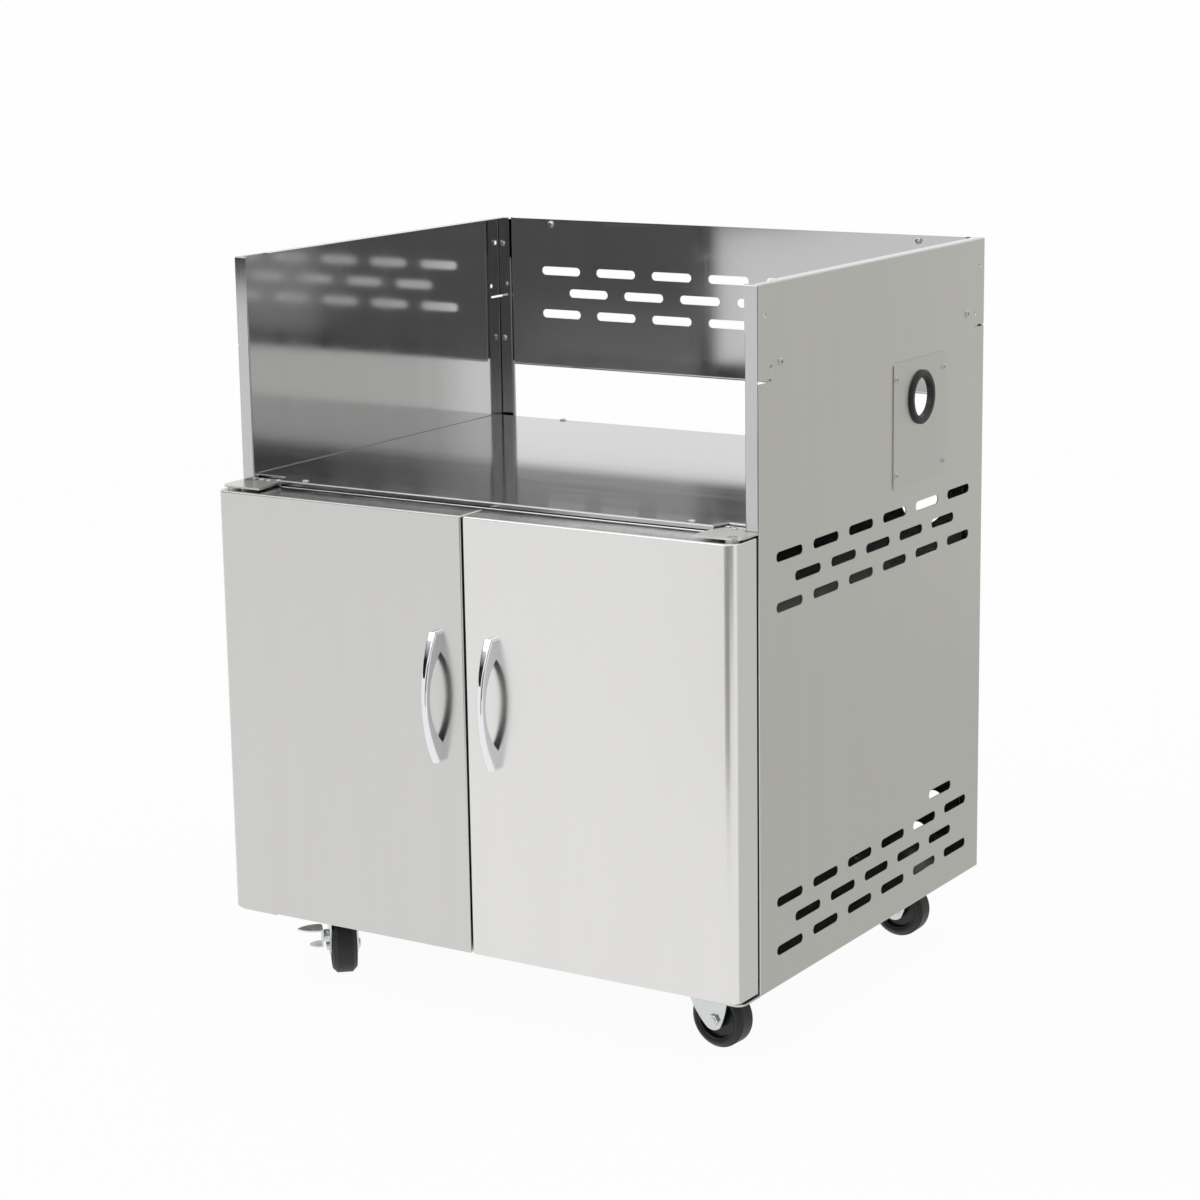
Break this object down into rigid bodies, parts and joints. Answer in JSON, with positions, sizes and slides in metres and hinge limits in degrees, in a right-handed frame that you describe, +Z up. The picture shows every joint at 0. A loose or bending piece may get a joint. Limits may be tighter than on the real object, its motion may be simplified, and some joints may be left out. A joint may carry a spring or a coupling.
{
  "type": "grill cart with storage",
  "caption": "Stainless grill cart on swivel casters: an open well for a drop-in grill head above a vented storage cupboard with overlay doors and bow handles.",
  "frame": {"origin": "on the floor, under the middle of the cart with its handles", "axes": "+X to the right seen from the doors, +Y to the back, +Z up"},
  "size_m": [0.7677, 0.695, 0.941],
  "materials": {
    "brushed_stainless": "satin, fine vertical grain",
    "stainless_screws": "bright",
    "chrome": "polished",
    "zinc_plated": "bright zinc plate",
    "black_rubber": "matte",
    "tyre_rubber": "matte",
    "black_plastic": "matte moulded",
    "nylon": "natural"
  },
  "bodies": {
    "cabinet": {"side_panel_right": "brushed_stainless", "side_panel_left": "brushed_stainless", "rear_upright_right": "brushed_stainless", "rear_upright_left": "brushed_stainless", "back_panel_upper": "brushed_stainless", "back_panel_lower": "brushed_stainless", "back_stiffener": "brushed_stainless", "deck_panel": "brushed_stainless", "deck_rails": "brushed_stainless", "front_rail_top": "brushed_stainless", "front_rail_bottom": "brushed_stainless", "bottom_shelf": "brushed_stainless", "access_plate": "brushed_stainless", "hinge_plate_top_right": "brushed_stainless", "hinge_plate_top_left": "brushed_stainless", "hinge_plate_bottom_right": "brushed_stainless", "hinge_plate_bottom_left": "brushed_stainless", "back_screws": "stainless_screws", "deck_screws": "stainless_screws", "panel_screws": "stainless_screws", "hinge_screws": "stainless_screws", "hinge_pins": "stainless_screws", "grommet": "black_rubber", "door_catches": "black_plastic", "caster_plate_front_left": "zinc_plated", "caster_plate_front_right": "zinc_plated", "caster_plate_rear_left": "zinc_plated", "caster_plate_rear_right": "zinc_plated", "caster_fasteners": "zinc_plated"},
    "door_right": {"door_shell_right": "brushed_stainless", "door_liner_right": "brushed_stainless", "door_bushes_right": "nylon", "door_handle_right": "chrome", "handle_screws_right": "stainless_screws", "door_strike_right": "zinc_plated"},
    "door_left": {"door_shell_left": "brushed_stainless", "door_liner_left": "brushed_stainless", "door_bushes_left": "nylon", "door_handle_left": "chrome", "handle_screws_left": "stainless_screws", "door_strike_left": "zinc_plated"},
    "swivel_front_left": {"caster_fork_front_left": "zinc_plated", "caster_axle_front_left": "zinc_plated"},
    "wheel_front_left": {"caster_tyre_front_left": "tyre_rubber", "caster_wheel_front_left": "black_plastic"},
    "brake_front_left": {"brake_lever_front_left": "zinc_plated"},
    "swivel_front_right": {"caster_fork_front_right": "zinc_plated", "caster_axle_front_right": "zinc_plated"},
    "wheel_front_right": {"caster_tyre_front_right": "tyre_rubber", "caster_wheel_front_right": "black_plastic"},
    "swivel_rear_left": {"caster_fork_rear_left": "zinc_plated", "caster_axle_rear_left": "zinc_plated"},
    "wheel_rear_left": {"caster_tyre_rear_left": "tyre_rubber", "caster_wheel_rear_left": "black_plastic"},
    "brake_rear_left": {"brake_lever_rear_left": "zinc_plated"},
    "swivel_rear_right": {"caster_fork_rear_right": "zinc_plated", "caster_axle_rear_right": "zinc_plated"},
    "wheel_rear_right": {"caster_tyre_rear_right": "tyre_rubber", "caster_wheel_rear_right": "black_plastic"}
  },
  "joints": [
    {"name": "door_right_hinge", "type": "hinge", "parent": "cabinet", "child": "door_right", "pos_m": [0.366, -0.2935, 0.3714], "axis": [0, 0, 1], "range_deg": [0, 110]},
    {"name": "door_left_hinge", "type": "hinge", "parent": "cabinet", "child": "door_left", "pos_m": [-0.366, -0.2935, 0.3714], "axis": [0, 0, -1], "range_deg": [0, 110]},
    {"name": "caster_swivel_front_left", "type": "hinge", "parent": "cabinet", "child": "swivel_front_left", "pos_m": [-0.28, -0.2135, 0.09], "axis": [0, 0, 1], "continuous": true},
    {"name": "wheel_spin_front_left", "type": "hinge", "parent": "swivel_front_left", "child": "wheel_front_left", "pos_m": [-0.26413, -0.2315, 0.0375], "axis": [0.7501, 0.6613, 0], "continuous": true},
    {"name": "brake_pedal_front_left", "type": "hinge", "parent": "swivel_front_left", "child": "brake_front_left", "pos_m": [-0.28138, -0.24671, 0.05], "axis": [0.6613, -0.7501, 0], "range_deg": [0, 12]},
    {"name": "caster_swivel_front_right", "type": "hinge", "parent": "cabinet", "child": "swivel_front_right", "pos_m": [0.28, -0.2135, 0.09], "axis": [0, 0, 1], "continuous": true},
    {"name": "wheel_spin_front_right", "type": "hinge", "parent": "swivel_front_right", "child": "wheel_front_right", "pos_m": [0.30393, -0.2153, 0.0375], "axis": [0.075, 0.9972, 0], "continuous": true},
    {"name": "caster_swivel_rear_left", "type": "hinge", "parent": "cabinet", "child": "swivel_rear_left", "pos_m": [-0.28, 0.2695, 0.09], "axis": [0, 0, 1], "continuous": true},
    {"name": "wheel_spin_rear_left", "type": "hinge", "parent": "swivel_rear_left", "child": "wheel_rear_left", "pos_m": [-0.25652, 0.27449, 0.0375], "axis": [-0.2079, 0.9781, 0], "continuous": true},
    {"name": "brake_pedal_rear_left", "type": "hinge", "parent": "swivel_rear_left", "child": "brake_rear_left", "pos_m": [-0.25174, 0.25199, 0.05], "axis": [0.9781, 0.2079, 0], "range_deg": [0, 12]},
    {"name": "caster_swivel_rear_right", "type": "hinge", "parent": "cabinet", "child": "swivel_rear_right", "pos_m": [0.28, 0.2695, 0.09], "axis": [0, 0, 1], "continuous": true},
    {"name": "wheel_spin_rear_right", "type": "hinge", "parent": "swivel_rear_right", "child": "wheel_rear_right", "pos_m": [0.304, 0.2695, 0.0375], "axis": [0, 1, 0], "continuous": true}
  ]
}
